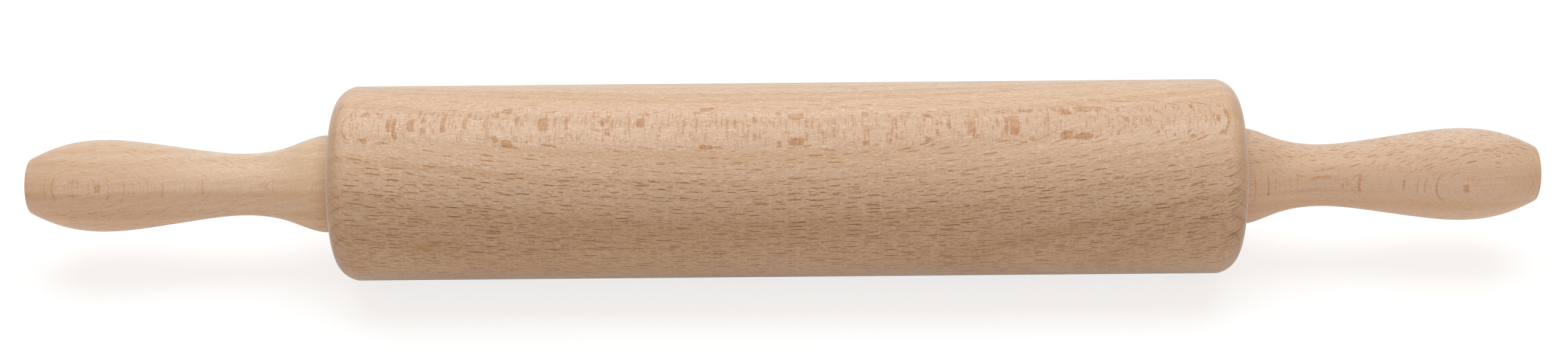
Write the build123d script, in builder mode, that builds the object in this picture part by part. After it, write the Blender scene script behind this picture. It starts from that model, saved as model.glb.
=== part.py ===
"""Wooden rolling pin with a revolving barrel and two turned handles.

The pin lies along X and +Z is up. The origin is on the axis, midway between
the outer ends of the two handles. A steel rod runs through the barrel and is
pressed into both handles. The barrel turns on the rod in two flanged bushes,
and can shift a little along it between two thrust washers. It is drawn midway
in that play. The left handle is the longer one, because more of its collar was
left on. Sizes are millimetres.
"""

from build123d import *

import os
from math import cos, radians, sqrt, tan

# Barrel
barrel_radius = 27.75
barrel_length = 257.0
barrel_corner_radius = 7.3
barrel_corner_onset = 9.0  # degrees that the rounded corner drops where it leaves the cylinder
barrel_bore_clearance = 1.0

# Rod through the barrel
rod_radius = 4.0
rod_engagement = 50.0
rod_chamfer = 0.8
knurl_length = 40.0
knurl_rise = 0.05
knurl_depth = 0.25
knurl_count = 20

# Flanged bushes in the ends of the barrel
bush_running_clearance = 0.08
bush_wall = 2.0
bush_sleeve_length = 15.0
bush_flange_lip = 3.0
bush_flange_thickness = 1.6
bush_flange_clearance = 0.2
bush_lead_in = 0.6
bush_rib_count = 8
bush_rib_height = 0.15
bush_rib_width = 1.2

# Thrust washers between the bushes and the handles
washer_thickness = 1.2
washer_bore_clearance = 0.15
washer_inset = 0.4
washer_running_gap = 0.1
washer_proud = 0.15
washer_edge = 0.2

# Free travel of the barrel along the rod
end_play = 1.05

# Turned handles: a plain collar band at the barrel, then the same turned shape on both
collar_bands = {"left": 2.95, "right": 0.6}
turned_length = 84.05
collar_radius = 13.85
collar_round = 0.5
collar_slope = 5.5  # degrees
neck_radius = 8.84
neck_place = 23.0
belly_radius = 13.12
belly_place = 61.4
end_radius = 7.7
end_round = 0.5
end_slope = 28.0  # degrees
socket_spare = 4.0
socket_point = 118.0  # degrees across the cone that the drill leaves
socket_chamfer = 0.6

# How far the outline has gone at its in-between points, as shares of place and of radius
flare_place_share, flare_radius_share = 0.447, 0.36
swell_low_place_share, swell_low_radius_share = 0.32, 0.26
swell_high_place_share, swell_high_radius_share = 0.68, 0.73
taper_place_share, taper_radius_share = 0.56, 0.25

# Places that follow from the sizes, along the axis and counted outwards from the barrel's middle
half_barrel = barrel_length / 2
handle_face = half_barrel + washer_proud + end_play / 2
rod_half_length = handle_face + rod_engagement

# The origin is midway between the tips, so the longer left collar moves the barrel to the right
barrel_centre = (collar_bands["left"] - collar_bands["right"]) / 2

# Radii that follow from the sizes
barrel_bore_radius = rod_radius + barrel_bore_clearance
bush_bore_radius = rod_radius + bush_running_clearance
bush_sleeve_radius = bush_bore_radius + bush_wall
bush_flange_radius = bush_sleeve_radius + bush_flange_lip
recess_radius = bush_flange_radius + bush_flange_clearance
washer_bore_radius = rod_radius + washer_bore_clearance
washer_radius = bush_flange_radius - washer_inset

# The recess in the barrel's end holds the flange and all of the washer but what stands proud
recess_depth = bush_flange_thickness + washer_running_gap + washer_thickness - washer_proud
bush_seat_depth = recess_depth + bush_sleeve_length

SIDES = {"left": -1, "right": 1}


def outward_plane(side, place):
    """Plane square to the axis at a place, facing the pin's end on that side."""
    return Plane(origin=(place, 0, 0), x_dir=(0, 1, 0), z_dir=(side, 0, 0))


def section_plane(side, place):
    """Plane through the axis, its x running outwards from a place and its y up."""
    return Plane(origin=(place, 0, 0), x_dir=(side, 0, 0), z_dir=(0, -side, 0))


def between(start, end, share):
    """Value that lies the given share of the way from start to end."""
    return start + (end - start) * share


def save(piece, name):
    """Label a finished piece and write its file."""
    piece.label = name
    export_step(piece, f"parts/{name}.step")


os.makedirs("parts", exist_ok=True)

# Barrel: a cylinder with rounded ends, bored through, with a stepped seat for each bush
with BuildPart() as roller_barrel:
    corner_centre_x = half_barrel - barrel_corner_radius
    corner_centre_y = barrel_radius - barrel_corner_radius * cos(radians(barrel_corner_onset))
    with BuildSketch(section_plane(1, barrel_centre)):
        with BuildLine():
            corner = CenterArc(
                (corner_centre_x, corner_centre_y), barrel_corner_radius, 0, 90 - barrel_corner_onset
            )
            Polyline(corner @ 1, (0, barrel_radius), (0, 0), (half_barrel, 0), corner @ 0)
        make_face()
        mirror(about=Plane.YZ)
    revolve(axis=Axis.X)
    with Locations(outward_plane(1, barrel_centre + half_barrel)):
        Hole(barrel_bore_radius, depth=barrel_length)
    for side in SIDES.values():
        with Locations(outward_plane(side, barrel_centre + side * half_barrel)):
            CounterBoreHole(bush_sleeve_radius, recess_radius, recess_depth, depth=bush_seat_depth)
save(roller_barrel.part, "roller_barrel")

# Rod: plain where the bushes run, with a straight knurl that bites into each handle
with BuildPart() as axle_rod:
    with BuildSketch(outward_plane(1, barrel_centre - rod_half_length)):
        Circle(rod_radius)
    extrude(amount=2 * rod_half_length)
    for side in SIDES.values():
        with BuildSketch(outward_plane(-side, barrel_centre + side * rod_half_length)):
            Circle(rod_radius + knurl_rise)
        extrude(amount=knurl_length)
    chamfer(axle_rod.faces().filter_by(Axis.X).group_by(Axis.X)[0].edges(), rod_chamfer)
    chamfer(axle_rod.faces().filter_by(Axis.X).group_by(Axis.X)[-1].edges(), rod_chamfer)
    for side in SIDES.values():
        with BuildSketch(outward_plane(-side, barrel_centre + side * rod_half_length)):
            with PolarLocations(rod_radius + knurl_rise, knurl_count):
                Rectangle(knurl_depth * sqrt(2), knurl_depth * sqrt(2), rotation=45)
        extrude(amount=knurl_length, mode=Mode.SUBTRACT)
save(axle_rod.part, "axle_rod")

for side_name, side in SIDES.items():
    barrel_end = barrel_centre + side * half_barrel
    flange_seat = barrel_end - side * recess_depth
    flange_face = flange_seat + side * bush_flange_thickness

    # Bush: a sleeve with crush ribs in the wood, and a flange in the recess
    with BuildPart() as bush:
        with BuildSketch(outward_plane(-side, flange_seat)):
            Circle(bush_sleeve_radius)
        extrude(amount=bush_sleeve_length)
        chamfer(bush.faces().sort_by(Axis.X)[0 if side > 0 else -1].edges(), bush_lead_in)
        with BuildSketch(outward_plane(-side, flange_seat)):
            with PolarLocations(bush_sleeve_radius, bush_rib_count):
                Rectangle(2 * bush_rib_height, bush_rib_width)
        extrude(amount=bush_sleeve_length - 2 * bush_lead_in)
        with BuildSketch(outward_plane(side, flange_seat)):
            Circle(bush_flange_radius)
        extrude(amount=bush_flange_thickness)
        with Locations(outward_plane(side, flange_face)):
            Hole(bush_bore_radius, depth=bush_flange_thickness + bush_sleeve_length)
    save(bush.part, f"{side_name}_bush")

    # Washer: a loose ring on the rod, standing a little out of the recess
    with BuildPart() as washer:
        with BuildSketch(outward_plane(side, flange_face + side * washer_running_gap)):
            Circle(washer_radius)
            Circle(washer_bore_radius, mode=Mode.SUBTRACT)
        extrude(amount=washer_thickness)
        chamfer(washer.edges().filter_by(GeomType.CIRCLE).group_by(SortBy.RADIUS)[-1], washer_edge)
    save(washer.part, f"{side_name}_washer")

    # Handle: neck, belly and taper in one smooth turned outline, past the collar band
    with BuildPart() as handle:
        band = collar_bands[side_name]
        with BuildSketch(section_plane(side, barrel_centre + side * (handle_face + band))):
            with BuildLine():
                outline = Spline(
                    (0, collar_radius),
                    (
                        between(0, neck_place, flare_place_share),
                        between(neck_radius, collar_radius, flare_radius_share),
                    ),
                    (neck_place, neck_radius),
                    (
                        between(neck_place, belly_place, swell_low_place_share),
                        between(neck_radius, belly_radius, swell_low_radius_share),
                    ),
                    (
                        between(neck_place, belly_place, swell_high_place_share),
                        between(neck_radius, belly_radius, swell_high_radius_share),
                    ),
                    (belly_place, belly_radius),
                    (
                        between(belly_place, turned_length, taper_place_share),
                        between(belly_radius, end_radius, taper_radius_share),
                    ),
                    (turned_length, end_radius),
                    tangents=[
                        (1, -tan(radians(collar_slope))),
                        (1, -tan(radians(end_slope))),
                    ],
                )
                Polyline(
                    outline @ 1, (turned_length, 0), (-band, 0), (-band, collar_radius), outline @ 0
                )
            make_face()
        revolve(axis=Axis.X)
        flat_faces = handle.faces().filter_by(GeomType.PLANE).sort_by(Axis.X, reverse=side < 0)
        fillet(flat_faces[0].edges(), collar_round)
        fillet(flat_faces[-1].edges(), end_round)

        # Blind socket for the rod, bored from the collar's face
        with BuildSketch(section_plane(side, barrel_centre + side * handle_face)):
            socket_depth = rod_engagement + socket_spare
            socket_tip = socket_depth + rod_radius / tan(radians(socket_point / 2))
            with BuildLine():
                Polyline(
                    (0, 0),
                    (0, rod_radius + socket_chamfer),
                    (socket_chamfer, rod_radius),
                    (socket_depth, rod_radius),
                    (socket_tip, 0),
                    close=True,
                )
            make_face()
        revolve(axis=Axis.X, mode=Mode.SUBTRACT)
    save(handle.part, f"{side_name}_handle")
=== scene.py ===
"""Beech rolling pin with a revolving barrel, modelled smooth and dressed for a studio picture.

The pin lies along X with +Z up and its middle at the origin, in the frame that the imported
part gives. Lengths are written in millimetres times MM, because the scene is in metres.
"""

import logging
import math
from dataclasses import dataclass, replace
from enum import Enum
from functools import partialmethod
from typing import Union

import bmesh
import bpy
import numpy as np
from bmesh.types import BMesh, BMVert
from bpy.types import Material, Node, NodeSocket, Object, World
from mathutils import Matrix, Vector


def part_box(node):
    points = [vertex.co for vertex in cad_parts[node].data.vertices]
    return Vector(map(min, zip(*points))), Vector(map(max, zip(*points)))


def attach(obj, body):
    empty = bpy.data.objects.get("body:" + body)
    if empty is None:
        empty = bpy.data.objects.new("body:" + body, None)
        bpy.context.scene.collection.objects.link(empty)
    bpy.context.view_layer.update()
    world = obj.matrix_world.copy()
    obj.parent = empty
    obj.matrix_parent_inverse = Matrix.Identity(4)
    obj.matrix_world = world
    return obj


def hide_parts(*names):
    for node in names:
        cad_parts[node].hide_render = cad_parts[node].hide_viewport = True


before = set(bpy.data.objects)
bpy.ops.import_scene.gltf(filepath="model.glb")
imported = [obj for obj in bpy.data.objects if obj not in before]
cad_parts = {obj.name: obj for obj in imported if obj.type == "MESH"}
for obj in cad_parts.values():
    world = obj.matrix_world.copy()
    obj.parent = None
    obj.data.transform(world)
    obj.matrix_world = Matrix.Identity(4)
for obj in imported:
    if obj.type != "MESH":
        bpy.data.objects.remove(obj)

MM = 0.001
AXIS = Vector((1, 0, 0))
CENTRE = Vector((0, 0, 0))
HALF_TURN = Matrix.Rotation(math.pi, 3, "Z")

# How near two points are to be welded, and how near a corner is to lie on a turned edge
WELD_DISTANCE = 0.0005 * MM
NEAR = 0.01 * MM

# Edges that bend by more than this stay crisp
SHARP_ANGLE = math.radians(24)

# How many degrees up the camera stands, and the barrel's radius in millimetres
ELEVATION = 38.0
BARREL_RADIUS = 27.75

Point = tuple[float, float]
Triple = tuple[float, float, float]
Colour = tuple[float, float, float]
Stop = tuple[float, tuple[float, float, float, float]]
Feed = Union["Value", float, tuple]

WHITE = (1.0, 1.0, 1.0)

# Place of the mixed colour among a mix node's outputs
MIXED_COLOUR = 2

log = logging.getLogger("rolling_pin")


class Side(Enum):
    """Which end of the pin a piece belongs to, as its direction along X."""

    LEFT = -1
    RIGHT = 1

    @property
    def word(self) -> str:
        """The side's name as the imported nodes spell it."""
        return self.name.lower()


class Body(Enum):
    """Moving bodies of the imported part."""

    HANDLES = "handles"
    WASHERS = "washers"
    BARREL = "barrel"


def flowing_outline(points: list[Point], start: Point, end: Point, count: int) -> list[Point]:
    """Draw one smooth curve through a few points of a turned outline.

    Args:
        points: Place and radius of each point, in order.
        start: Direction in which the curve leaves the first point.
        end: Direction in which the curve reaches the last point.
        count: Number of points to return.

    Returns:
        Evenly spaced points of the curve, the first and the last one included.
    """
    given = np.array(points)
    steps = np.linalg.norm(np.diff(given, axis=0), axis=1)
    knots = np.concatenate(([0.0], np.cumsum(steps)))
    system = np.zeros((len(given), len(given)))
    target = np.zeros_like(given)
    system[0, 0] = system[-1, -1] = 1
    target[0] = np.array(start) / np.linalg.norm(start)
    target[-1] = np.array(end) / np.linalg.norm(end)
    for i in range(1, len(given) - 1):
        before, after = steps[i - 1], steps[i]
        system[i, i - 1 : i + 2] = after, 2 * (before + after), before
        rise_before = (given[i] - given[i - 1]) / before
        rise_after = (given[i + 1] - given[i]) / after
        target[i] = 3 * (after * rise_before + before * rise_after)
    slopes = np.linalg.solve(system, target)
    outline = []
    for at in np.linspace(0, knots[-1], count):
        i = min(int(np.searchsorted(knots, at, side="right")) - 1, len(steps) - 1)
        u = (at - knots[i]) / steps[i]
        place = (
            given[i] * (1 + 2 * u) * (1 - u) ** 2
            + slopes[i] * steps[i] * u * (1 - u) ** 2
            + given[i + 1] * u**2 * (3 - 2 * u)
            + slopes[i + 1] * steps[i] * u**2 * (u - 1)
        )
        outline.append((float(place[0]), float(place[1])))
    return outline


def arc_outline(centre: Point, radius: float, start: float, end: float, count: int) -> list[Point]:
    """Draw a round stretch of a turned outline.

    Args:
        centre: Place and radius of the arc's centre.
        radius: Radius of the arc.
        start: Angle at which it starts, in degrees from +X towards larger radii.
        end: Angle at which it ends, in degrees.
        count: Number of points to return.

    Returns:
        Points of the arc, both ends included.
    """
    angles = np.radians(np.linspace(start, end, count))
    return [(centre[0] + radius * math.cos(a), centre[1] + radius * math.sin(a)) for a in angles]


def turned(outline: list[Point], facets: int, ring: bool) -> BMesh:
    """Turn an outline about the pin's axis, as on a lathe.

    Args:
        outline: Place along the axis and radius of each point.
        facets: Number of steps round the axis.
        ring: True if the outline is closed and stays off the axis.

    Returns:
        A closed mesh with its faces pointing outwards.
    """
    shape = bmesh.new()
    corners = [shape.verts.new((place, 0, radius)) for place, radius in outline]
    lines = [shape.edges.new(pair) for pair in zip(corners, corners[1:])]
    if ring:
        lines.append(shape.edges.new((corners[-1], corners[0])))
    bmesh.ops.spin(
        shape,
        geom=corners + lines,
        cent=CENTRE,
        axis=AXIS,
        angle=math.tau,
        steps=facets,
        use_merge=True,
    )
    return closed(shape)


def closed(shape: BMesh) -> BMesh:
    """Weld what meets in a mesh and turn its faces outwards.

    Args:
        shape: The mesh to close.

    Returns:
        The same mesh.
    """
    bmesh.ops.remove_doubles(shape, verts=shape.verts, dist=WELD_DISTANCE)
    bmesh.ops.recalc_face_normals(shape, faces=shape.faces)
    return shape


def round_rim(shape: BMesh, place: float, radius: float, size: float) -> None:
    """Break a turned edge with a small round.

    Args:
        shape: The turned mesh.
        place: Place of the edge along the axis.
        radius: Radius of the edge.
        size: Width that the round takes from each side.
    """
    rim = [
        edge
        for edge in shape.edges
        if all(
            abs(corner.co.x - place) < NEAR and abs(corner.co.yz.length - radius) < NEAR
            for corner in edge.verts
        )
    ]
    bmesh.ops.bevel(
        shape, geom=rim, offset=size, segments=4, profile=0.5, affect="EDGES", material=-1
    )


def finish_piece(
    shape: BMesh, name: str, node: str, body: Body, finish: Material
) -> Object:
    """Make a scene object of a mesh, dress it and tie it to the part.

    Args:
        shape: The piece's mesh, which this call uses up.
        name: Name of the piece.
        node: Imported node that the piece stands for.
        body: Body that it rides on.
        finish: Material to wear.

    Returns:
        The finished object.
    """
    mesh = bpy.data.meshes.new(name)
    shape.to_mesh(mesh)
    shape.free()
    mesh.polygons.foreach_set("use_smooth", [True] * len(mesh.polygons))
    mesh.set_sharp_from_angle(angle=SHARP_ANGLE)
    mesh.materials.append(finish)
    piece = bpy.data.objects.new(name, mesh)
    bpy.context.scene.collection.objects.link(piece)
    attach(piece, body.value)
    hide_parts(node)
    log.info("%s: %d faces, stands for %s", name, len(mesh.polygons), node)
    return piece


class Value:
    """A number, vector or colour of a node tree, reckoned with as in plain sums.

    A vector's or a colour's numbers are reckoned one by one.
    """

    def __init__(self, recipe: "Recipe", socket: NodeSocket) -> None:
        """Take an output of the recipe's tree."""
        self.recipe = recipe
        self.socket = socket

    def to(self, operation: str, *others: Feed) -> "Value":
        """Do one sum, with this value first.

        Args:
            operation: Blender's name for the sum.
            *others: One or two more values that go into it.

        Returns:
            The result.
        """
        is_vector = self.socket.type in ("VECTOR", "RGBA")
        kind, key = ("VectorMath", "Vector") if is_vector else ("Math", "Value")
        feeds = {key + end: value for end, value in zip(("", "_001", "_002"), (self, *others))}
        return self.recipe.read(kind, feeds, operation=operation)

    # Sums with a sign of their own
    __add__ = partialmethod(to, "ADD")
    __sub__ = partialmethod(to, "SUBTRACT")
    __mul__ = partialmethod(to, "MULTIPLY")
    __truediv__ = partialmethod(to, "DIVIDE")
    __pow__ = partialmethod(to, "POWER")
    __abs__ = partialmethod(to, "ABSOLUTE")

    # Sums by name: above gives 1 where this value is the larger one, and 0 elsewhere
    times_plus = partialmethod(to, "MULTIPLY_ADD")
    at_least = partialmethod(to, "MAXIMUM")
    at_most = partialmethod(to, "MINIMUM")
    above = partialmethod(to, "GREATER_THAN")
    fraction = partialmethod(to, "FRACT")
    root = partialmethod(to, "SQRT")
    angle_from = partialmethod(to, "ARCTAN2")

    def __rsub__(self, other: float) -> "Value":
        """Take this value away from a plain number."""
        return self.recipe.read("Math", {"Value": other, "Value_001": self}, operation="SUBTRACT")

    def length(self) -> "Value":
        """Measure a vector."""
        return self.recipe.read("VectorMath", {"Vector": self}, "Value", operation="LENGTH")

    def scaled(self, by: Feed) -> "Value":
        """Scale a vector by one number."""
        return self.recipe.read("VectorMath", {"Vector": self, "Scale": by}, operation="SCALE")

    def split(self) -> tuple["Value", "Value", "Value"]:
        """Take a vector apart into its three numbers."""
        outputs = self.recipe.node("SeparateXYZ", {"Vector": self}).outputs
        return tuple(Value(self.recipe, socket) for socket in outputs)

    def ramp(self, low: Feed, high: Feed, start: Feed = 0.0, end: Feed = 1.0) -> "Value":
        """Ease the number from one range to another.

        Args:
            low: Where the range starts.
            high: Where the range ends.
            start: What the result is at low.
            end: What the result is at high.

        Returns:
            The eased number, held within start and end.
        """
        keys = ("Value", "From Min", "From Max", "To Min", "To Max")
        feeds = dict(zip(keys, (self, low, high, start, end)))
        return self.recipe.read("MapRange", feeds, interpolation_type="SMOOTHSTEP")


class Recipe:
    """Node tree of one finish, written as short steps."""

    def __init__(self, owner: Union[Material, World]) -> None:
        """Start with an empty tree.

        Args:
            owner: Material or world that the tree belongs to.
        """
        owner.use_nodes = True
        self.owner = owner
        self.tree = owner.node_tree
        self.tree.nodes.clear()

    def node(self, kind: str, feeds: dict[str, Feed], **settings: object) -> Node:
        """Add one node.

        Args:
            kind: Blender's name for the node, without its ShaderNode prefix.
            feeds: Values for its inputs, by socket identifier.
            **settings: Values for the node's own properties.

        Returns:
            The node.
        """
        made = self.tree.nodes.new("ShaderNode" + kind)
        for key, value in settings.items():
            setattr(made, key, value)
        inputs = {socket.identifier: socket for socket in made.inputs}
        for key, value in feeds.items():
            if isinstance(value, Value):
                self.tree.links.new(value.socket, inputs[key])
            else:
                inputs[key].default_value = value
        return made

    def read(
        self, kind: str, feeds: dict[str, Feed], output: Union[int, str] = 0, **settings: object
    ) -> Value:
        """Add one node, as node() does, and take one of its outputs, by default the first."""
        return Value(self, self.node(kind, feeds, **settings).outputs[output])

    def join(self, x: Feed, y: Feed, z: Feed) -> Value:
        """Make a vector of three numbers."""
        return self.read("CombineXYZ", {"X": x, "Y": y, "Z": z})

    def tint(self, share: Feed, first: Feed, second: Feed, mode: str = "MIX") -> Value:
        """Lay one colour over another.

        Args:
            share: How much of the second colour shows, from 0 to 1.
            first: Colour beneath.
            second: Colour laid over it.
            mode: Blender's name for how they mix.

        Returns:
            The mixed colour.
        """
        feeds = {"Factor_Float": share, "A_Color": opaque(first), "B_Color": opaque(second)}
        return self.read("Mix", feeds, MIXED_COLOUR, data_type="RGBA", blend_type=mode)

    def steps(self, value: Value, stops: list[Stop]) -> tuple[Value, Value]:
        """Look a number up in a table of steps.

        Args:
            value: The number, from 0 to 1.
            stops: Place of each step and the four numbers that hold from there on.

        Returns:
            The first three numbers as a colour, and the fourth.
        """
        made = self.node("ValToRGB", {"Fac": value})
        table = made.color_ramp
        table.interpolation = "CONSTANT"
        table.elements[0].position, table.elements[0].color = stops[0]
        for place, numbers in stops[1:]:
            table.elements.new(place).color = numbers
        last = max(table.elements, key=lambda stop: stop.position)
        last.color = (0.0, 0.0, 0.0, 0.0)
        return Value(self, made.outputs["Color"]), Value(self, made.outputs["Alpha"])

    def noise(
        self, place: Value, size: Triple, detail: float = 1.0, roughness: float = 0.5
    ) -> tuple[Value, Value]:
        """Add cloudy noise.

        Args:
            place: Where it is read.
            size: Size of its clouds along each axis, infinite where it doesn't change.
            detail: How many finer clouds are laid over them.
            roughness: How strong the finer clouds are.

        Returns:
            The noise as a number, and as three numbers of their own.
        """
        place = place * tuple(1 / width for width in size)
        feeds = {"Vector": place, "Scale": 1.0, "Detail": detail, "Roughness": roughness}
        made = self.node("TexNoise", feeds, noise_dimensions="3D")
        return Value(self, made.outputs["Fac"]), Value(self, made.outputs["Color"])

    def bump(self, height: Value, strength: float, distance: float) -> Value:
        """Raise the surface by a height, as a normal for the shader."""
        return self.read("Bump", {"Strength": strength, "Distance": distance, "Height": height})

    def mixed(self, share: Value, first: Value, second: Value) -> Value:
        """Mix two shaders, the second as far as the share says."""
        return self.read("MixShader", {"Fac": share, "Shader": first, "Shader_001": second})

    def surface(self, bump: Value, **feeds: Feed) -> Material:
        """End the recipe with its shader.

        Args:
            bump: Normal that the surface takes.
            **feeds: Values for the shader's inputs, with _ for a space.

        Returns:
            The finished material.
        """
        named = {key.replace("_", " "): value for key, value in feeds.items()}
        shader = self.read("BsdfPrincipled", {**named, "Normal": bump})
        self.node("OutputMaterial", {"Surface": shader})
        return self.owner


def opaque(colour: Feed) -> Feed:
    """Give a plain colour its alpha of 1, and leave another value as it is."""
    return colour if isinstance(colour, Value) else (*colour, 1.0)


@dataclass(frozen=True)
class RaySize:
    """One size of ray: the upright ribbons of tissue that give beech its flecks.

    Seen edge on they are thin dark dashes, and seen from their flat side broad flakes.
    Sizes are millimetres, and depth is how strongly the ray is coloured.
    """

    half_length: float
    half_thickness: float
    pitch_along: float
    pitch_across: float
    run: float
    depth: float


@dataclass(frozen=True)
class Flake:
    """A broad ray that the turning has cut flat, as it lies on the wood.

    It shows from start to end along the axis, and round the wood where the distance from
    its own middle is between inner and outer. Shift is how far that middle lies above the
    middle of the band of flakes. Bend is how far the mark leans to the right 5 mm away from
    the middle of the band. Sizes are millimetres.
    """

    start: float
    end: float
    inner: float
    outer: float
    shift: float
    strength: float
    bend: float = 0.0


@dataclass(frozen=True)
class Stain:
    """A soft darker patch or streak of the wood.

    It lies at a place along the axis and round the wood, counted upwards from the middle of
    the band of flakes. Bow is how fast it curves upwards. Sizes are millimetres.
    """

    along: float
    round: float
    half_length: float
    half_height: float
    bow: float
    colour: Colour


@dataclass(frozen=True)
class Layer:
    """Noise laid through the wood, and the range over which it comes to show.

    Sizes are millimetres along the fibres, along the rays and across them.
    """

    size: Triple
    begins: float
    full: float
    detail: float = 1.0
    roughness: float = 0.5


def laid_flakes(*rows: tuple[float, ...]) -> tuple[Flake, ...]:
    """Make flakes of rows of numbers, each row in the order of a flake's fields."""
    return tuple(Flake(*row) for row in rows)


# Flakes of each piece from left to right: start, end, inner, outer, shift, strength and bend
BARREL_FLAKES = laid_flakes(
    (-122.9, -122.2, 0.8, 4.6, 1.8, 0.6, 1.1), (-120.4, -119.9, -0.5, 3.2, 1.9, 0.4, 0.6),
    (-118.2, -116.3, 3.5, 5.4, 1.8, 0.75), (-114.4, -111.5, 4.7, 5.4, 1.6, 0.6),
    (-110.3, -108.9, -0.5, 2.3, 2.5, 0.9), (-108.8, -107.3, -0.5, 3.5, 1.2, 1),
    (-104.4, -102.3, -0.5, 2.3, 2.3, 0.85), (-100.6, -99.1, 0.6, 2.8, 2.2, 0.8),
    (-97.4, -96.6, 1.0, 2.7, 2.1, 0.5), (-95.1, -93.7, -0.5, 2.7, 2.3, 0.8),
    (-92.9, -92.4, -0.5, 1.7, 2.7, 0.5), (-91.9, -91.5, -0.5, 1.9, 2.7, 0.45),
    (-89.0, -87.6, -0.5, 2.1, 2.8, 0.7), (-85.3, -83.8, 2.8, 3.9, 1.0, 0.4),
    (-82.7, -81.6, -0.5, 4.5, 1.5, 0.6), (-81.6, -79.4, 3.1, 5.2, 1.5, 0.8),
    (-79.1, -75.9, 4.5, 6.5, 1.8, 0.9), (-74.5, -73.3, -0.5, 1.7, 3.2, 0.65),
    (-72.2, -71.5, 3.8, 4.9, 0.9, 0.5), (-68.0, -65.0, -0.5, 2.5, 2.1, 0.9),
    (-63.6, -62.8, -0.5, 1.7, 2.9, 0.6), (-60.6, -59.6, -0.5, 2.3, 2.6, 0.85),
    (-55.0, -54.5, -0.5, 1.7, 2.7, 0.4), (-53.1, -50.9, 1.9, 2.8, 2.5, 0.5),
    (-50.4, -49.6, -0.5, 1.7, 2.8, 0.6), (-49.4, -48.0, 0.8, 3.5, 1.6, 0.75),
    (-44.1, -43.3, 0.8, 2.2, 0.7, 0.5), (-43.0, -42.1, -0.5, 2.3, 1.9, 0.6),
    (-40.5, -38.3, -0.5, 1.7, 2.6, 1), (-27.7, -27.1, -0.5, 2.8, 0.9, 0.6),
    (-24.2, -23.5, -0.5, 2.5, 1.8, 0.6), (-23.5, -19.5, 5.5, 7.1, 0.9, 1),
    (-19.5, -16.8, 5.9, 6.5, 0.7, 0.5), (-15.8, -14.9, -0.5, 3.6, 0.5, 0.5),
    (-13.6, -12.7, -0.5, 1.7, 1.6, 0.9), (-11.2, -10.7, -0.5, 3.2, 0.2, 0.45),
    (-8.3, -7.1, 1.6, 4.2, 0.4, 0.8), (-2.7, -2.1, -0.5, 1.4, 1.3, 0.5),
    (-1.6, -0.2, 4.2, 5.6, 0.3, 0.7), (1.0, 1.3, -0.5, 2.4, 0.3, 0.8),
    (1.5, 6.0, 3.0, 5.3, 0.1, 1), (6.2, 7.0, 0.8, 3.3, -0.4, 0.7),
    (7.9, 8.7, -0.5, 1.3, 1.3, 0.85), (10.1, 11.4, 0.4, 2.0, 0.2, 0.4),
    (14.0, 14.8, 1.6, 3.2, -0.1, 0.4), (18.2, 18.5, -0.5, 2.0, 0.8, 0.5),
    (22.4, 24.1, 3.8, 5.6, 0.2, 0.9), (26.1, 27.2, -0.5, 0.6, 1.0, 0.5),
    (29.5, 30.5, 3.4, 4.8, 0.1, 0.65), (31.3, 32.0, 1.2, 3.6, -0.2, 0.6),
    (34.2, 34.6, -0.5, 2.6, 0.6, 0.4), (38.8, 39.1, -0.5, 2.2, 0.5, 0.4),
    (39.8, 41.3, 3.0, 4.8, 0.2, 0.8), (42.5, 43.3, 0.6, 3.0, 0.2, 0.75),
    (45.6, 46.8, -0.5, 1.6, 1.3, 1), (51.3, 52.7, -0.5, 3.3, 1.1, 0.65),
    (52.6, 53.6, -0.5, 3.6, 0.3, 0.9), (53.8, 54.8, 2.6, 4.2, 0.7, 0.7),
    (55.6, 55.9, -0.5, 1.2, 1.8, 0.5), (59.3, 60.1, -0.5, 1.5, 1.8, 0.9),
    (61.6, 62.8, -0.5, 2.8, 0.7, 0.9), (63.1, 66.0, -0.5, 3.4, 0.7, 1),
    (68.9, 70.4, 3.9, 5.3, 1.0, 0.7), (73.5, 74.3, -0.5, 2.9, 1.3, 0.5),
    (77.5, 80.9, 2.6, 5.1, 1.3, 1), (81.6, 87.0, 3.6, 5.7, 1.5, 1),
    (87.5, 88.5, 4.1, 5.6, 1.3, 0.7), (90.5, 91.0, -0.5, 1.9, 1.5, 0.6),
    (93.2, 94.4, 3.5, 4.5, 1.8, 0.8), (95.0, 96.5, -0.5, 1.1, 2.3, 0.7),
    (97.3, 97.8, -0.5, 1.9, 2.0, 0.6), (98.1, 98.6, 0.6, 2.1, 1.4, 0.5),
    (100.8, 101.4, -0.5, 1.1, 2.5, 0.9), (102.2, 102.7, -0.5, 1.7, 2.1, 0.6),
    (109.3, 110.1, 4.1, 5.2, 1.8, 0.7), (114.2, 115.5, 4.4, 5.6, 1.9, 0.8),
    (117.7, 118.0, -0.5, 1.9, 2.5, 0.5), (120.5, 121.7, -0.5, 1.3, 2.4, 1),
    (122.2, 123.4, 4.0, 5.3, 2.5, 0.8), (123.6, 124.5, -0.5, 4.4, 1.3, 1, -0.9),
)

LEFT_FLAKES = laid_flakes(
    (-208.7, -208.2, -0.5, 3.6, 0.2, 0.35, 0.8), (-206.4, -205.9, -0.5, 4.5, 0.0, 0.6, 1.4),
    (-200.3, -199.9, -0.5, 3.0, 0.2, 0.5, 1.0), (-198.7, -198.2, -0.5, 1.4, 1.2, 0.4, 0.5),
    (-195.6, -195.1, -0.5, 2.2, 0.3, 0.5, -0.6), (-193.8, -192.1, -0.5, 1.1, 0.0, 1.0),
    (-190.1, -189.6, -0.5, 3.4, -0.2, 0.5, -1.1), (-185.7, -185.2, -0.5, 4.2, -0.3, 0.45, -1.6),
    (-175.2, -174.7, -0.5, 2.4, -0.9, 0.4, -0.6), (-165.2, -164.9, -0.5, 2.4, 0.2, 0.4),
    (-164.3, -163.7, -0.5, 3.2, -0.2, 0.6, -0.5), (-144.2, -143.7, -0.5, 3.0, 0.6, 0.35, -0.5),
)

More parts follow.
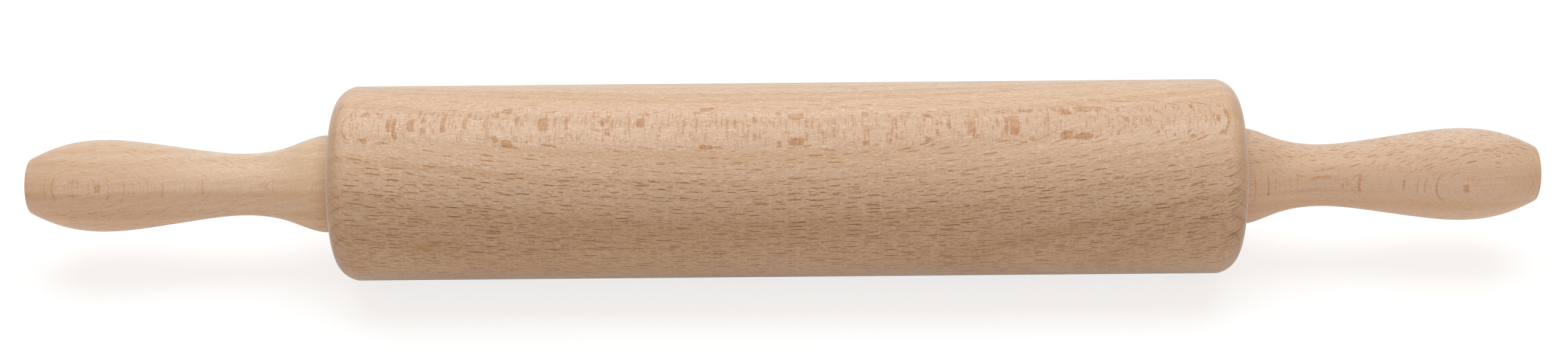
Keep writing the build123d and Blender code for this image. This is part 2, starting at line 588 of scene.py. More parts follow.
RIGHT_FLAKES = laid_flakes(
    (132.8, 133.2, -0.5, 3.8, 0.4, 0.8, -0.8), (136.7, 137.2, -0.5, 3.5, 0.8, 0.8, -0.7),
    (138.8, 139.2, -0.5, 2.0, 1.0, 0.35), (143.2, 143.5, -0.5, 2.2, 0.8, 0.35),
    (145.4, 145.8, -0.5, 2.4, 0.7, 0.3), (151.0, 155.2, -0.5, 0.8, 3.0, 0.6),
    (158.2, 158.8, -0.5, 1.1, -0.8, 0.7), (159.4, 160.0, -0.5, 1.9, 0.9, 0.6),
    (162.5, 163.4, -0.5, 3.8, 0.4, 1.0, 0.8), (174.8, 175.6, -0.5, 1.8, 0.3, 0.8),
    (178.8, 179.2, -0.5, 2.6, 0.5, 0.5, 1.0), (180.8, 181.2, -0.5, 2.4, 0.4, 0.6, 1.0),
    (183.8, 184.4, -0.5, 4.4, 0.0, 0.85, 2.2), (191.5, 193.4, -0.5, 1.3, -0.3, 1.0),
    (212.0, 212.5, -0.5, 4.8, 0.4, 0.4, -2.4),
)

BARREL_STAINS = (
    Stain(-99.8, -34.3, 5.5, 3.0, 0.0, (0.90, 0.80, 0.60)),
    Stain(-93.0, -32.8, 7.0, 0.9, 0.0, (0.93, 0.86, 0.72)),
    Stain(-50.0, -35.4, 62.0, 0.8, 0.0005, (0.93, 0.86, 0.74)),
)


@dataclass(frozen=True)
class BeechFigure:
    """Beech seen as a solid: rays, growth rings and fibres laid through the piece.

    The colours are linear. Angles are degrees, lengths millimetres. Ranges are pairs of the
    values at which a tone begins and is full.
    """

    name: str

    # How the grain lies in the piece
    face_angle: float
    slope_across: float
    middle: float
    bow_radial: float = 0.0
    bow_across: float = 0.0
    twist: float = 0.0
    offset: float = 0.0
    radius: float = 13.1

    # Colours of the wood, its rings and its rays
    pale: Colour = WHITE
    # Deeper tone towards one side: partly a reddish heart, partly painted shade. On the barrel it
    # lies on the lower front, on the handles on top, which leaves their lower sides painted
    # lighter, as by fill light
    deep: Colour = WHITE
    deep_range: Point = (-2.0, 9.0)
    # Where the painted highlight on top of the piece begins and is full
    crown_range: Point = (0.8, 1.0)
    ring: Colour = WHITE
    dash: Colour = WHITE
    flake: Colour = WHITE
    near_barrel: Colour = WHITE
    far_end: Colour = WHITE
    ring_slope: float = 0.0
    ring_pale: float = 0.0
    ring_dark: float = 0.0

    # Marks, and how strongly they show below and above the band of flakes
    flakes: tuple[Flake, ...] = ()
    stains: tuple[Stain, ...] = ()
    lower_marks: float = 1.0
    upper_marks: float = 1.0
    mark_width: float = 1.0
    mark_length: float = 1.0
    figure: float = 1.0
    sunk: bool = False
    band_bow: float = 0.0

    # Noise that bends and frays the grain
    wander_size = (30, 12, 12)
    wander_reach = (0, 1.4, 0.9)
    fray_size = (1.4, 0.7, 0.2)
    fray_reach = (0.5, 0, 0.04)
    noise_middle = (0.5, 0.5, 0.5)

    # Noise that colours the wood, and noise that paints glints onto it
    ring_bands = Layer((420, 2.2, 70), 0.38, 0.68, 2.0)
    strokes = Layer((0.55, 4, math.inf), 0.54, 0.68)
    fibres = Layer((3.2, 0.8, 0.26), 0.34, 0.66, 3.0, 0.6)
    gleams = Layer((1.5, 0.35, 0.16), 0.57, 0.67)
    pores = Layer((0.7, 0.16, 0.12), 0.5, 0.72)
    stroke_strength = 0.6
    pore_strength = 0.8

    # What the wood's colour is multiplied by
    # Painted highlight: the top of the piece turned paler and cooler
    crown_tint = (1.04, 1.13, 1.24)
    # Paler, cooler band of flakes: partly the quartered face's own tone, partly painted lustre
    band_tint = (1.01, 1.04, 1.10)
    pale_ring_tint = (1.12, 1.12, 1.10)
    dark_ring_tint = (0.72, 0.60, 0.48)
    # Painted glints: pale, cool specks laid into the colour
    fibre_tint = (0.94, 0.915, 0.89)
    gleam_tint = (1.20, 1.23, 1.27)
    pore_tint = (0.80, 0.75, 0.70)
    end_grain_tint = (0.80, 0.72, 0.62)

    # Distances from the pin's middle at which the handles change tone
    near_range = (130.0, 150.0)
    far_range = (160.0, 188.0)

    # Growth rings: their spacing, and the shares of it that a pale and a dark line take
    ring_width = 2.4
    pale_line = (0.86, 0.96)
    dark_line = (0.8, 1.0)

    # The band of flakes: where it is lowest and how far it turns upwards
    band_low = 15.0
    band_rise = 0.08

    # How squarely the surface faces a direction where each thing begins and where it is full
    band_facing = (0.955, 0.985)
    stroke_facing = (0.97, 0.99)
    flat_facing = (0.78, 0.98)
    thick_facing = (0.15, 0.8)
    crowded_facing = (0.984, 0.995)
    corner_facing = (0.1, 0.4)
    mark_facing = (0.0, 0.6)
    ring_facing = (-0.8, 0.0)
    ring_end_facing = (0.15, 0.5)
    end_facing = (0.2, 0.95)
    flake_facing = 0.5

    # Shares that are left of dark rings on top, and of marks at corners and among the flakes
    ring_left = 0.15
    corner_left = 0.4
    crowded_left = 0.35

    # Rays from the coarsest to the finest, how their lengths vary, and how softly they end
    coarse = RaySize(2.1, 0.105, 5.3, 1.12, 60.0, 1.0)
    medium = RaySize(1.15, 0.078, 3.0, 0.8, 40.0, 0.85)
    fine = RaySize(0.55, 0.055, 1.5, 0.36, 25.0, 0.5)
    ray_reach = (0.4, 1.15)
    ray_edge = (0.5, 1.15)
    ray_bulge = (3.0, 2.0)
    least_depth = 0.45
    steep_thickness = (0.68, 1.0)
    flat_thinning = 0.8

    # Broad flakes: how they are kept in tables, with zero at the middle where there are signs
    flakes_per_table = 15
    table_span = 8.0
    table_room = 2.5
    table_margin = 1.0
    table_zero = 0.5
    inner_lift = 1.0
    same_place = 1e-6

    # Broad flakes: how they curl and fray, how softly they end, and how fibres show in them
    flake_curl = 0.0004
    flake_fray = (0.8, 1.3)
    flake_edge = (0.5, 1.3)
    flake_bulge = (4.0, 3.5)
    flake_fade = (-4.0, 5.0, 1.0, 0.75)
    flake_fibres = (0.3, 0.6, 0.7, 1.1)
    flake_power = 0.7
    bend_reach = 5.0
    least_size = 0.01

    # The surface: its roughness on plain wood and on marks, its relief, and how stains fade out
    roughness = (0.56, 0.46)
    mark_relief = -0.6
    relief_strength = 0.25
    relief_depth = 0.03 * MM
    stain_edge = (0.1, 1.0, 1.0, 0.0)

    def material(self) -> Material:
        """Mix the finish."""
        return BeechRecipe(self).material()


class BeechRecipe(Recipe):
    """Steps that mix the beech of one piece.

    X runs along the axis, radial along the rays and across square to both, all three in laid.
    Endwise, upwards and square are the surface's direction along the same three, after the
    band of flakes has turned upwards by rise, in radians. Wandering is the place in the
    wood's own bent grain, and fray is how far its fibres stray there. Arc is how far the
    place lies above the middle of the band, in millimetres round the wood.
    """

    def __init__(self, look: BeechFigure) -> None:
        """Lay the grain through the piece.

        Args:
            look: How the beech is to look.
        """
        super().__init__(bpy.data.materials.new(look.name))
        self.look = look
        turn = (math.radians(look.face_angle - 90), 0, 0)
        place = {"Vector": self.read("TexCoord", {}, "Object"), "Scale": (1 / MM,) * 3}
        facing = {"Vector": self.read("TexCoord", {}, "Normal")}
        self.laid = self.read("Mapping", {**place, "Rotation": turn})
        self.x, self.radial, self.across = self.laid.split()
        self.endwise, upwards, square = self.read("Mapping", {**facing, "Rotation": turn}).split()
        from_low = self.x - look.band_low
        self.rise = (from_low * from_low * look.band_bow).at_most(look.band_rise)
        self.upwards = upwards - square * self.rise
        self.square = upwards.times_plus(self.rise, square)
        self.on_end, self.on_flat = abs(self.endwise), abs(self.square)
        self.arc = self.radial.angle_from(self.across) * look.radius
        self.wandering, self.fray = self.bent_grain()
        self.colour: Feed = WHITE
        self.relief: Feed = 0.0

    def bent_grain(self) -> tuple[Value, Value]:
        """Twist, slope, bow and fray the grain.

        Returns:
            The place in the bent grain, and how far the fibres stray there.
        """
        look = self.look
        along = self.x - look.middle
        squared = along * along
        twist = squared * look.twist
        twisted = self.join(
            along, self.radial - twist * self.across, self.across + twist * self.radial
        )
        slope = self.join(0.0, 0.0, along) * (0, 0, look.slope_across)
        bow = self.join(0.0, squared, squared) * (0, look.bow_radial, look.bow_across)
        here = twisted - slope - bow + (look.offset,) * 3
        _, wander = self.noise(here, look.wander_size)
        _, fray = self.noise(here, look.fray_size)
        wander = (wander - look.noise_middle) * look.wander_reach
        fray = fray - look.noise_middle
        return here + wander + fray * look.fray_reach, fray

    def shade(self, share: Value, by: Feed) -> None:
        """Multiply the wood's colour by another one, as far as the share says."""
        self.colour = self.tint(share, self.colour, by, "MULTIPLY")

    def overlay(self, layer: Layer, most: float, by: Colour) -> Value:
        """Shade the wood where noise shows that is laid through its grain.

        Args:
            layer: The noise.
            most: How strongly it shows where it is full.
            by: Colour to multiply by.

        Returns:
            The noise itself.
        """
        cloud, _ = self.noise(self.wandering, layer.size, layer.detail, layer.roughness)
        self.shade(cloud.ramp(layer.begins, layer.full, 0.0, most), by)
        return cloud

    def wood(self) -> None:
        """Colour the wood: deeper on one side, partly heart and partly painted shade; a painted
        highlight on top; rings; and the band of flakes, partly painted lustre.
        """
        look, strokes = self.look, self.look.strokes
        # Deeper on one side: partly heartwood, partly painted shade
        self.colour = self.tint(self.radial.ramp(*look.deep_range), look.pale, look.deep)
        # Painted highlight: paler and cooler towards the top
        self.shade(self.upwards.ramp(*look.crown_range), look.crown_tint)
        self.overlay(look.ring_bands, 1.0, look.ring)
        # Band of flakes paler: partly its own tone, partly painted lustre
        self.shade(self.on_flat.ramp(*look.band_facing), look.band_tint)
        stroke, _ = self.noise(self.laid, strokes.size, strokes.detail, strokes.roughness)
        stroke = stroke.ramp(strokes.begins, strokes.full, 0.0, look.stroke_strength)
        inner = self.square.ramp(*look.stroke_facing, 0.0, look.figure)
        self.shade(stroke * inner, look.flake)

    def toned_ends(self) -> None:
        """Tone a handle near the barrel and towards its end."""
        look, distance = self.look, abs(self.x)
        self.shade(distance.ramp(*look.near_range, 1.0, 0.0), look.near_barrel)
        self.shade(distance.ramp(*look.far_range), look.far_end)

    def rings(self) -> None:
        """Draw the growth rings' edges: pale on the flanks, dark on the barrel's round ends."""
        look = self.look
        _, depth, _ = self.wandering.split()
        tilt = (self.x - look.middle) * look.ring_slope
        within = ((depth - tilt) / look.ring_width).fraction()
        self.shade(within.ramp(*look.pale_line, 0.0, look.ring_pale), look.pale_ring_tint)
        least = look.ring_left * look.ring_dark
        lower = self.upwards.ramp(*look.ring_facing, look.ring_dark, least)
        lower = lower * self.on_end.ramp(*look.ring_end_facing)
        self.shade(within.ramp(*look.dark_line) * lower, look.dark_ring_tint)

    def stains(self) -> None:
        """Lay the stains over the wood."""
        for stain in self.look.stains:
            along = self.x - stain.along
            up = self.arc - stain.round - along * along * stain.bow
            share = (1 / stain.half_length, 1 / stain.half_height, 0)
            off = (self.join(along, up, 0.0) * share + self.fray).length()
            self.shade(off.ramp(*self.look.stain_edge), stain.colour)

    def rays(self, size: RaySize, narrowing: Value) -> Value:
        """Scatter rays of one size.

        Args:
            size: Size and spacing of the rays.
            narrowing: How many times thinner than their size the rays show.

        Returns:
            How strongly a ray colours the place, from 0 to 1.
        """
        look = self.look
        pitch = (size.pitch_along, size.run, size.pitch_across)
        cells = self.wandering * tuple(1 / p for p in pitch) + (size.pitch_along,) * 3
        feeds = {"Vector": cells, "Scale": 1.0, "Randomness": 1.0}
        nearest = self.node("TexVoronoi", feeds, feature="F1").outputs
        along, _, across = abs(cells - Value(self, nearest["Position"])).split()
        lot, strength, _ = Value(self, nearest["Color"]).split()
        along = along * (size.pitch_along / (size.half_length * look.mark_length))
        across = across * (size.pitch_across / (size.half_thickness * look.mark_width))
        reach = lot.ramp(0.0, 1.0, *look.ray_reach)
        tip, side = look.ray_bulge
        edge = (along / reach) ** tip + (across * narrowing / reach) ** side
        inside = edge.ramp(*look.ray_edge, 1.0, 0.0)
        return inside * strength.ramp(0.0, 1.0, look.least_depth * size.depth, size.depth)

    def marks(self) -> None:
        """Lay the scattered rays over the wood, from the finest to the coarsest."""
        look = self.look
        flatness = self.on_flat.ramp(*look.flat_facing)
        steep = self.on_flat.ramp(*look.thick_facing, *look.steep_thickness)
        narrowing = flatness.times_plus(look.flat_thinning, steep)
        mark = self.tint(flatness, look.dash, look.flake)
        fade = self.upwards.ramp(*look.mark_facing, look.lower_marks, look.upper_marks)
        corner = (self.on_end * self.on_flat).ramp(*look.corner_facing, 1.0, look.corner_left)
        fade = fade * corner
        sparse = fade * self.square.ramp(*look.crowded_facing, 1.0, look.crowded_left)
        soft = fade * look.figure
        for size, most in ((look.fine, soft), (look.medium, sparse), (look.coarse, sparse)):
            share = self.rays(size, narrowing) * most
            self.shade(share, mark)
            self.relief = share.at_least(self.relief)

    def table_stops(
        self, flakes: tuple[Flake, ...], edges: list[float], low: float, high: float
    ) -> tuple[list[Stop], list[Stop]]:
        """Write a few flakes as the steps of two tables, with all numbers between 0 and 1.

        Args:
            flakes: The flakes.
            edges: Where each flake's stretch of the tables may begin and end.
            low: Place along the axis at which the tables start.
            high: Place at which they end.

        Returns:
            Steps that say where each flake lies, and steps that say how it is shaped.
        """
        look = self.look
        span, room, zero = look.table_span, look.table_room, look.table_zero
        nothing = (0.0, 0.0, 0.0, 0.0)
        lies, is_like = [(0.0, nothing)], [(0.0, nothing)]
        for flake, before, after in zip(flakes, edges, edges[1:]):
            begin = (max(before, flake.start - room) - low) / (high - low)
            end = (min(after, flake.end + room) - low) / (high - low)
            middle = ((flake.start + flake.end) / 2 - low) / (high - low)
            bend = flake.bend / span + zero
            size = (middle, (flake.end - flake.start) / span, bend, 0.0)
            inner = (flake.inner + look.inner_lift) / span
            shift = flake.shift / span + zero
            shape = (inner, flake.outer / span, shift, flake.strength)
            for stops, numbers in ((lies, size), (is_like, shape)):
                if stops[-1][0] >= begin - look.same_place:
                    stops.pop()
                stops.append((begin, numbers))
                stops.append((end, nothing))
        return lies, is_like

    def flake_tables(self, x: Value) -> tuple[Value, Value, Value]:
        """Look up which flake, if any, lies at a place along the axis.

        Args:
            x: Place along the axis.

        Returns:
            The flake's middle, half length and bend, its inner, outer and shift, and its
            strength.
        """
        look = self.look
        flakes, per_table = look.flakes, look.flakes_per_table
        span, margin = look.table_span, look.table_margin
        lengths, shapes, strength = (0.0, 0.0, 0.0), (0.0, 0.0, 0.0), 0.0
        gaps = ((a.end + b.start) / 2 for a, b in zip(flakes, flakes[1:]))
        edges = [flakes[0].start - margin, *gaps, flakes[-1].end + margin]
        for first in range(0, len(flakes), per_table):
            some = flakes[first : first + per_table]
            around = edges[first : first + len(some) + 1]
            low, high = around[0] - margin, around[-1] + margin
            lies, is_like = self.table_stops(some, around, low, high)
            share = (x - low) / (high - low)
            length, _ = self.steps(share, lies)
            at, size, lean = length.split()
            middle = at.times_plus(high - low, low)
            bend = lean.times_plus(span, -span * look.table_zero)
            length = self.join(middle, size * (span / 2), bend).scaled(size.above(0.0))
            lengths = length + lengths
            shape, depth = self.steps(share, is_like)
            shapes = shape + shapes
            strength = depth + strength
        return lengths, shapes, strength

    def broad_flakes(self) -> Value:
        """Lay the broad flakes of the band one by one.

        Returns:
            How strongly a flake colours the place, from 0 to 1.
        """
        look, x = self.look, self.x
        fray_x, fray_round, _ = self.fray.split()
        fray_along, fray_across = look.flake_fray
        centred = self.arc - self.rise * look.radius
        squared = centred * centred
        if look.sunk:
            x = x * squared.times_plus(look.flake_curl, 1.0)
        x = x + fray_x * fray_along
        lengths, shapes, strength = self.flake_tables(x)
        middle, half, bend = lengths.split()
        middle = middle + squared * bend * (1 / look.bend_reach**2)
        inner, outer, shift = (shapes * ((look.table_span,) * 3)).split()
        inner = inner - look.inner_lift
        shift = shift - look.table_span * look.table_zero
        arc = self.arc + fray_round * fray_across - shift
        spread = abs(arc)
        if look.sunk:
            reach = self.join(0.0, self.radial, self.across).length()
            buried = (look.radius - reach).at_least(0.0) * (2 * look.radius)
            spread = arc.times_plus(arc, buried).root()
        along = abs(x - middle) / half.at_least(look.least_size)
        width = ((outer - inner) * 0.5).at_least(look.least_size)
        tall = abs(spread - (inner + outer) * 0.5) / width
        tip, side = look.flake_bulge
        inside = (along**tip + tall**side).ramp(*look.flake_edge, 1.0, 0.0)
        return inside * arc.ramp(*look.flake_fade) * strength**look.flake_power

    def material(self) -> Material:
        """Mix the finish.

        Returns:
            The beech material.
        """
        look = self.look
        self.wood()
        self.toned_ends()
        self.rings()
        height = self.overlay(look.fibres, look.figure, look.fibre_tint)
        # Painted glints among the fibres
        self.overlay(look.gleams, look.figure, look.gleam_tint)
        self.overlay(look.pores, look.pore_strength * look.figure, look.pore_tint)
        self.stains()
        self.marks()
        flake = self.broad_flakes() * self.square.above(look.flake_facing)
        flake = flake * height.ramp(*look.flake_fibres)
        self.shade(flake, look.flake)
        relief = flake.at_least(self.relief)
        self.shade(self.on_end.ramp(*look.end_facing), look.end_grain_tint)
        height = relief * look.mark_relief + height
        return self.surface(
            self.bump(height, look.relief_strength, look.relief_depth),
            Base_Color=self.colour,
            Roughness=relief.ramp(0.0, 1.0, *look.roughness),
            IOR=1.45,
            Sheen_Weight=0.5,
            Sheen_Roughness=0.4,
        )


BARREL_BEECH = BeechFigure(
    name="barrel_beech",
    face_angle=ELEVATION + 30.5,
    slope_across=0.0,
    middle=-15.0,
    bow_radial=0.00052,
    bow_across=0.00027,
    twist=0.0000046,
    radius=BARREL_RADIUS,
    pale=(0.707, 0.503, 0.353),
    # Deeper on the barrel's lower front: partly heart, partly painted shade
    deep=(0.625, 0.413, 0.262),
    deep_range=(-17.0, -27.0),
    # Painted highlight over the upper part of the barrel
    crown_range=(0.2, 0.85),
    ring=(0.92, 0.87, 0.81),
    dash=(0.49, 0.33, 0.18),
    flake=(0.75, 0.54, 0.33),
    ring_dark=0.8,
    flakes=BARREL_FLAKES,
    stains=BARREL_STAINS,
    upper_marks=0.55,
    sunk=True,
    band_bow=0.0000126,
)

LEFT_BEECH = BeechFigure(
    name="left_handle_beech",
    face_angle=ELEVATION - 4.0,
    slope_across=0.12,
    middle=-180.0,
    offset=71.0,
    pale=(0.80, 0.575, 0.415),
    # Deeper on top of the handle, so that its lower side is painted lighter, as by fill light
    deep=(0.71, 0.53, 0.39),
    ring=(0.93, 0.88, 0.82),
    dash=(0.70, 0.56, 0.42),
    flake=(0.84, 0.68, 0.48),
    near_barrel=(1.0, 1.0, 0.92),
    far_end=(0.97, 0.92, 0.88),
    ring_slope=0.17,
    ring_pale=0.8,
    flakes=LEFT_FLAKES,
    lower_marks=0.6,
    upper_marks=0.6,
    mark_width=1.2,
    mark_length=0.7,
    figure=0.5,
)

RIGHT_BEECH = replace(
    LEFT_BEECH,
    name="right_handle_beech",
    face_angle=ELEVATION - 17.0,
    slope_across=-0.1,
    middle=180.0,
    offset=143.0,
    pale=(0.80, 0.555, 0.387),
    # Deeper on top of the handle, so that its lower side is painted lighter, as by fill light
    deep=(0.67, 0.465, 0.323),
    ring=(0.92, 0.85, 0.78),
    dash=(0.60, 0.41, 0.28),
    flake=(0.83, 0.64, 0.48),
    near_barrel=WHITE,
    far_end=WHITE,
    ring_slope=0.0,
    ring_pale=0.4,
    flakes=RIGHT_FLAKES,
    lower_marks=0.35,
    upper_marks=1.0,
)


@dataclass(frozen=True)
class DrawnSteel:
    """Bright drawn steel, with fine lines along the bar. Sizes are metres."""

    name: str = "drawn_steel"
    line_size: Triple = (1 / 60, 1 / 6000, 1 / 6000)
    cloud_size: Triple = (1 / 90, 1 / 250, 1 / 250)
    cloud_range: Point = (0.3, 0.7)
    roughness: Point = (0.24, 0.38)
    dark: Colour = (0.50, 0.50, 0.51)
    bright: Colour = (0.63, 0.63, 0.64)

    def material(self) -> Material:
        """Mix the finish.

        Returns:
            The steel material.
        """
        recipe = Recipe(bpy.data.materials.new(self.name))
        here = recipe.read("TexCoord", {}, "Object")
        lines, _ = recipe.noise(here, self.line_size, detail=4.0, roughness=0.6)
        cloud, _ = recipe.noise(here, self.cloud_size, detail=3.0)
        return recipe.surface(
            recipe.bump(lines, strength=0.2, distance=0.01 * MM),
            Base_Color=recipe.tint(lines, self.dark, self.bright),
            Metallic=1.0,
            Roughness=cloud.ramp(*self.cloud_range, *self.roughness),
            Anisotropic=0.4,
        )


@dataclass(frozen=True)
class MouldedNylon:
    """Natural nylon, as moulded: cream, slightly cloudy and finely pitted. Sizes are metres."""

    name: str
    colour: Colour
    milky: Colour = (0.88, 0.86, 0.80)
    cloud_size: Triple = (1 / 260,) * 3
    pit_size: Triple = (1 / 5200,) * 3
    cloud_range: Point = (0.3, 0.7)
    roughness: Point = (0.36, 0.46)

    def material(self) -> Material:
        """Mix the finish.

        Returns:
            The nylon material.
        """
        recipe = Recipe(bpy.data.materials.new(self.name))
        here = recipe.read("TexCoord", {}, "Object")
        cloud, _ = recipe.noise(here, self.cloud_size, detail=2.0)
        pits, _ = recipe.noise(here, self.pit_size, detail=2.0)
        return recipe.surface(
            recipe.bump(pits, strength=0.2, distance=0.01 * MM),
            Base_Color=recipe.tint(cloud, self.colour, self.milky),
            Roughness=cloud.ramp(*self.cloud_range, *self.roughness),
            IOR=1.53,
            Subsurface_Weight=0.1,
        )


@dataclass
class Roller:
    """The barrel, bored through and counterbored for a bush in each end."""

    corner_radius: float = 7.3 * MM
    corner_onset: float = 9.0
    bore_radius: float = 5.0 * MM
    recess_radius: float = 9.28 * MM
    recess_depth: float = 2.75 * MM
    seat_radius: float = 6.08 * MM
    seat_length: float = 15.0 * MM
    corner_points: int = 28
    facets: int = 256

    def __post_init__(self) -> None:
        """Take the barrel's own size and place from the frame."""
        low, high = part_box("roller_barrel")
        self.start, self.end, self.radius = low.x, high.x, high.z

    def barrel(self, finish: Material) -> Object:
        """Turn the barrel: a cylinder with rounded ends, bored and counterbored.

        Args:
            finish: Beech to wear.

        Returns:
            The barrel.
        """
        middle = (self.start + self.end) / 2
        half = (self.end - self.start) / 2
        drop = self.corner_radius * math.cos(math.radians(self.corner_onset))
        corner = arc_outline(
            (half - self.corner_radius, self.radius - drop),
            self.corner_radius,
            0,
            90 - self.corner_onset,
            self.corner_points,
        )
        seat = self.recess_depth + self.seat_length
        bore = [
            (half, self.recess_radius),
            (half - self.recess_depth, self.recess_radius),
            (half - self.recess_depth, self.seat_radius),
            (half - seat, self.seat_radius),
            (half - seat, self.bore_radius),
        ]
        right = bore[::-1] + corner
        left = [(-place, radius) for place, radius in right[::-1]]
        body = [(corner[-1][0] * share, self.radius) for share in (1, 0.5, 0, -0.5, -1)]
        outline = [(middle + place, radius) for place, radius in right + body + left]
        shape = turned(outline, self.facets, ring=True)
        return finish_piece(
            shape, "beech_barrel", "roller_barrel", Body.BARREL, finish
        )


@dataclass
class Handle:
    """One turned handle: collar, neck, belly and taper, with a blind socket for the rod.

    Flare, swells and taper are points of the outline between two others, as shares of the
    way from the one to the other in place and in radius. Slopes are degrees, and so is the
    socket's point, half the angle of the cone that the drill leaves.
    """

    side: Side
    turned_length: float = 84.05 * MM
    collar_radius: float = 13.85 * MM
    neck_radius: float = 8.84 * MM
    neck_place: float = 23.0 * MM
    belly_radius: float = 13.12 * MM
    belly_place: float = 61.4 * MM
    end_radius: float = 7.7 * MM
    collar_slope: float = 5.5
    end_slope: float = 28.0
    flare: Point = (0.447, 0.64)
    low_swell: Point = (0.32, 0.26)
    high_swell: Point = (0.68, 0.73)
    taper: Point = (0.56, 0.25)
    rim: float = 0.42 * MM
    socket_radius: float = 4.0 * MM
    socket_depth: float = 54.0 * MM
    socket_point: float = 59.0
    socket_chamfer: float = 0.6 * MM
    outline_points: int = 72
    facets: int = 192

    def __post_init__(self) -> None:
        """Take the handle's place and length from the frame."""
        low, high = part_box(f"{self.side.word}_handle")
        self.face = min(abs(low.x), abs(high.x))
        self.length = high.x - low.x
        self.band = self.length - self.turned_length

    def between(self, start: Point, end: Point, share: Point) -> Point:
        """Find a point of the outline between two others by its shares of place and radius."""
        return tuple(a + (b - a) * part for a, b, part in zip(start, end, share))

    def handle(self, finish: Material) -> Object:
        """Turn the handle.

        Args:
            finish: Beech to wear.

        Returns:
            The handle.
        """
        collar = (self.band, self.collar_radius)
        neck = (self.band + self.neck_place, self.neck_radius)
        belly = (self.band + self.belly_place, self.belly_radius)
        tip = (self.length, self.end_radius)
        outline = flowing_outline(
            [
                collar,
                self.between(collar, neck, self.flare),
                neck,
                self.between(neck, belly, self.low_swell),
                self.between(neck, belly, self.high_swell),
                belly,
                self.between(belly, tip, self.taper),
                tip,
            ],
            (1, -math.tan(math.radians(self.collar_slope))),
            (1, -math.tan(math.radians(self.end_slope))),
            self.outline_points,
        )
        cone = self.socket_radius / math.tan(math.radians(self.socket_point))
        socket = [
            (self.socket_depth + cone, 0.0),
            (self.socket_depth, self.socket_radius),
            (self.socket_chamfer, self.socket_radius),
            (0.0, self.socket_radius + self.socket_chamfer),
            (0.0, self.collar_radius),
        ]
        whole = socket + outline + [(self.length, 0.0)]
        shape = turned(whole, self.facets, ring=False)
        round_rim(shape, 0.0, self.collar_radius, self.rim)
        round_rim(shape, self.length, self.end_radius, self.rim)
        bmesh.ops.translate(shape, vec=(self.face, 0, 0), verts=shape.verts)
        if self.side is Side.LEFT:
            bmesh.ops.rotate(shape, cent=CENTRE, matrix=HALF_TURN, verts=shape.verts)
        word = self.side.word
        return finish_piece(
            closed(shape),
            f"beech_handle_{word}",
            f"{word}_handle",
            Body.HANDLES,
            finish,
        )


@dataclass
class Axle:
    """The steel rod through the barrel, knurled where it bites into the handles."""

    knurl_length: float = 40.0 * MM
    knurl_rise: float = 0.05 * MM
    groove_depth: float = 0.25 * MM
    groove_runout: float = 0.3 * MM
    grooves: int = 20
    facets_per_groove: int = 6
    plain_radius: float = 4.0 * MM
    end_chamfer: float = 0.8 * MM

    def __post_init__(self) -> None:
        """Take the rod's ends from the frame."""
        low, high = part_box("axle_rod")
        self.start, self.end = low.x, high.x

    def rod(self, finish: Material) -> Object:
        """Turn the rod and press the grooves of its knurl.

        Args:
            finish: Steel to wear.

        Returns:
            The rod.
        """
        middle = (self.start + self.end) / 2
        half = (self.end - self.start) / 2
        knurled = self.plain_radius + self.knurl_rise
        knurl_end = half - self.knurl_length
        right = [
            (0.0, self.plain_radius),
            (knurl_end - self.groove_runout, self.plain_radius),
            (knurl_end, knurled),
            (half - self.end_chamfer, knurled),
            (half, knurled - self.end_chamfer),
            (half, 0.0),
        ]
        left = [(-place, radius) for place, radius in right[:0:-1]]
        outline = [(middle + place, radius) for place, radius in left + right]
        facets = self.grooves * self.facets_per_groove
        shape = turned(outline, facets, ring=False)
        bottoms = []
        for corner in shape.verts:
            turn = math.atan2(corner.co.y, corner.co.z) / math.tau * facets
            on_knurl = abs(corner.co.yz.length - knurled) < NEAR
            if on_knurl and round(turn) % self.facets_per_groove == 0:
                bottoms.append(corner)
        shrink = 1 - self.groove_depth / knurled
        bmesh.ops.scale(shape, vec=(1, shrink, shrink), verts=bottoms)
        return finish_piece(
            closed(shape), "steel_rod", "axle_rod", Body.HANDLES, finish
        )


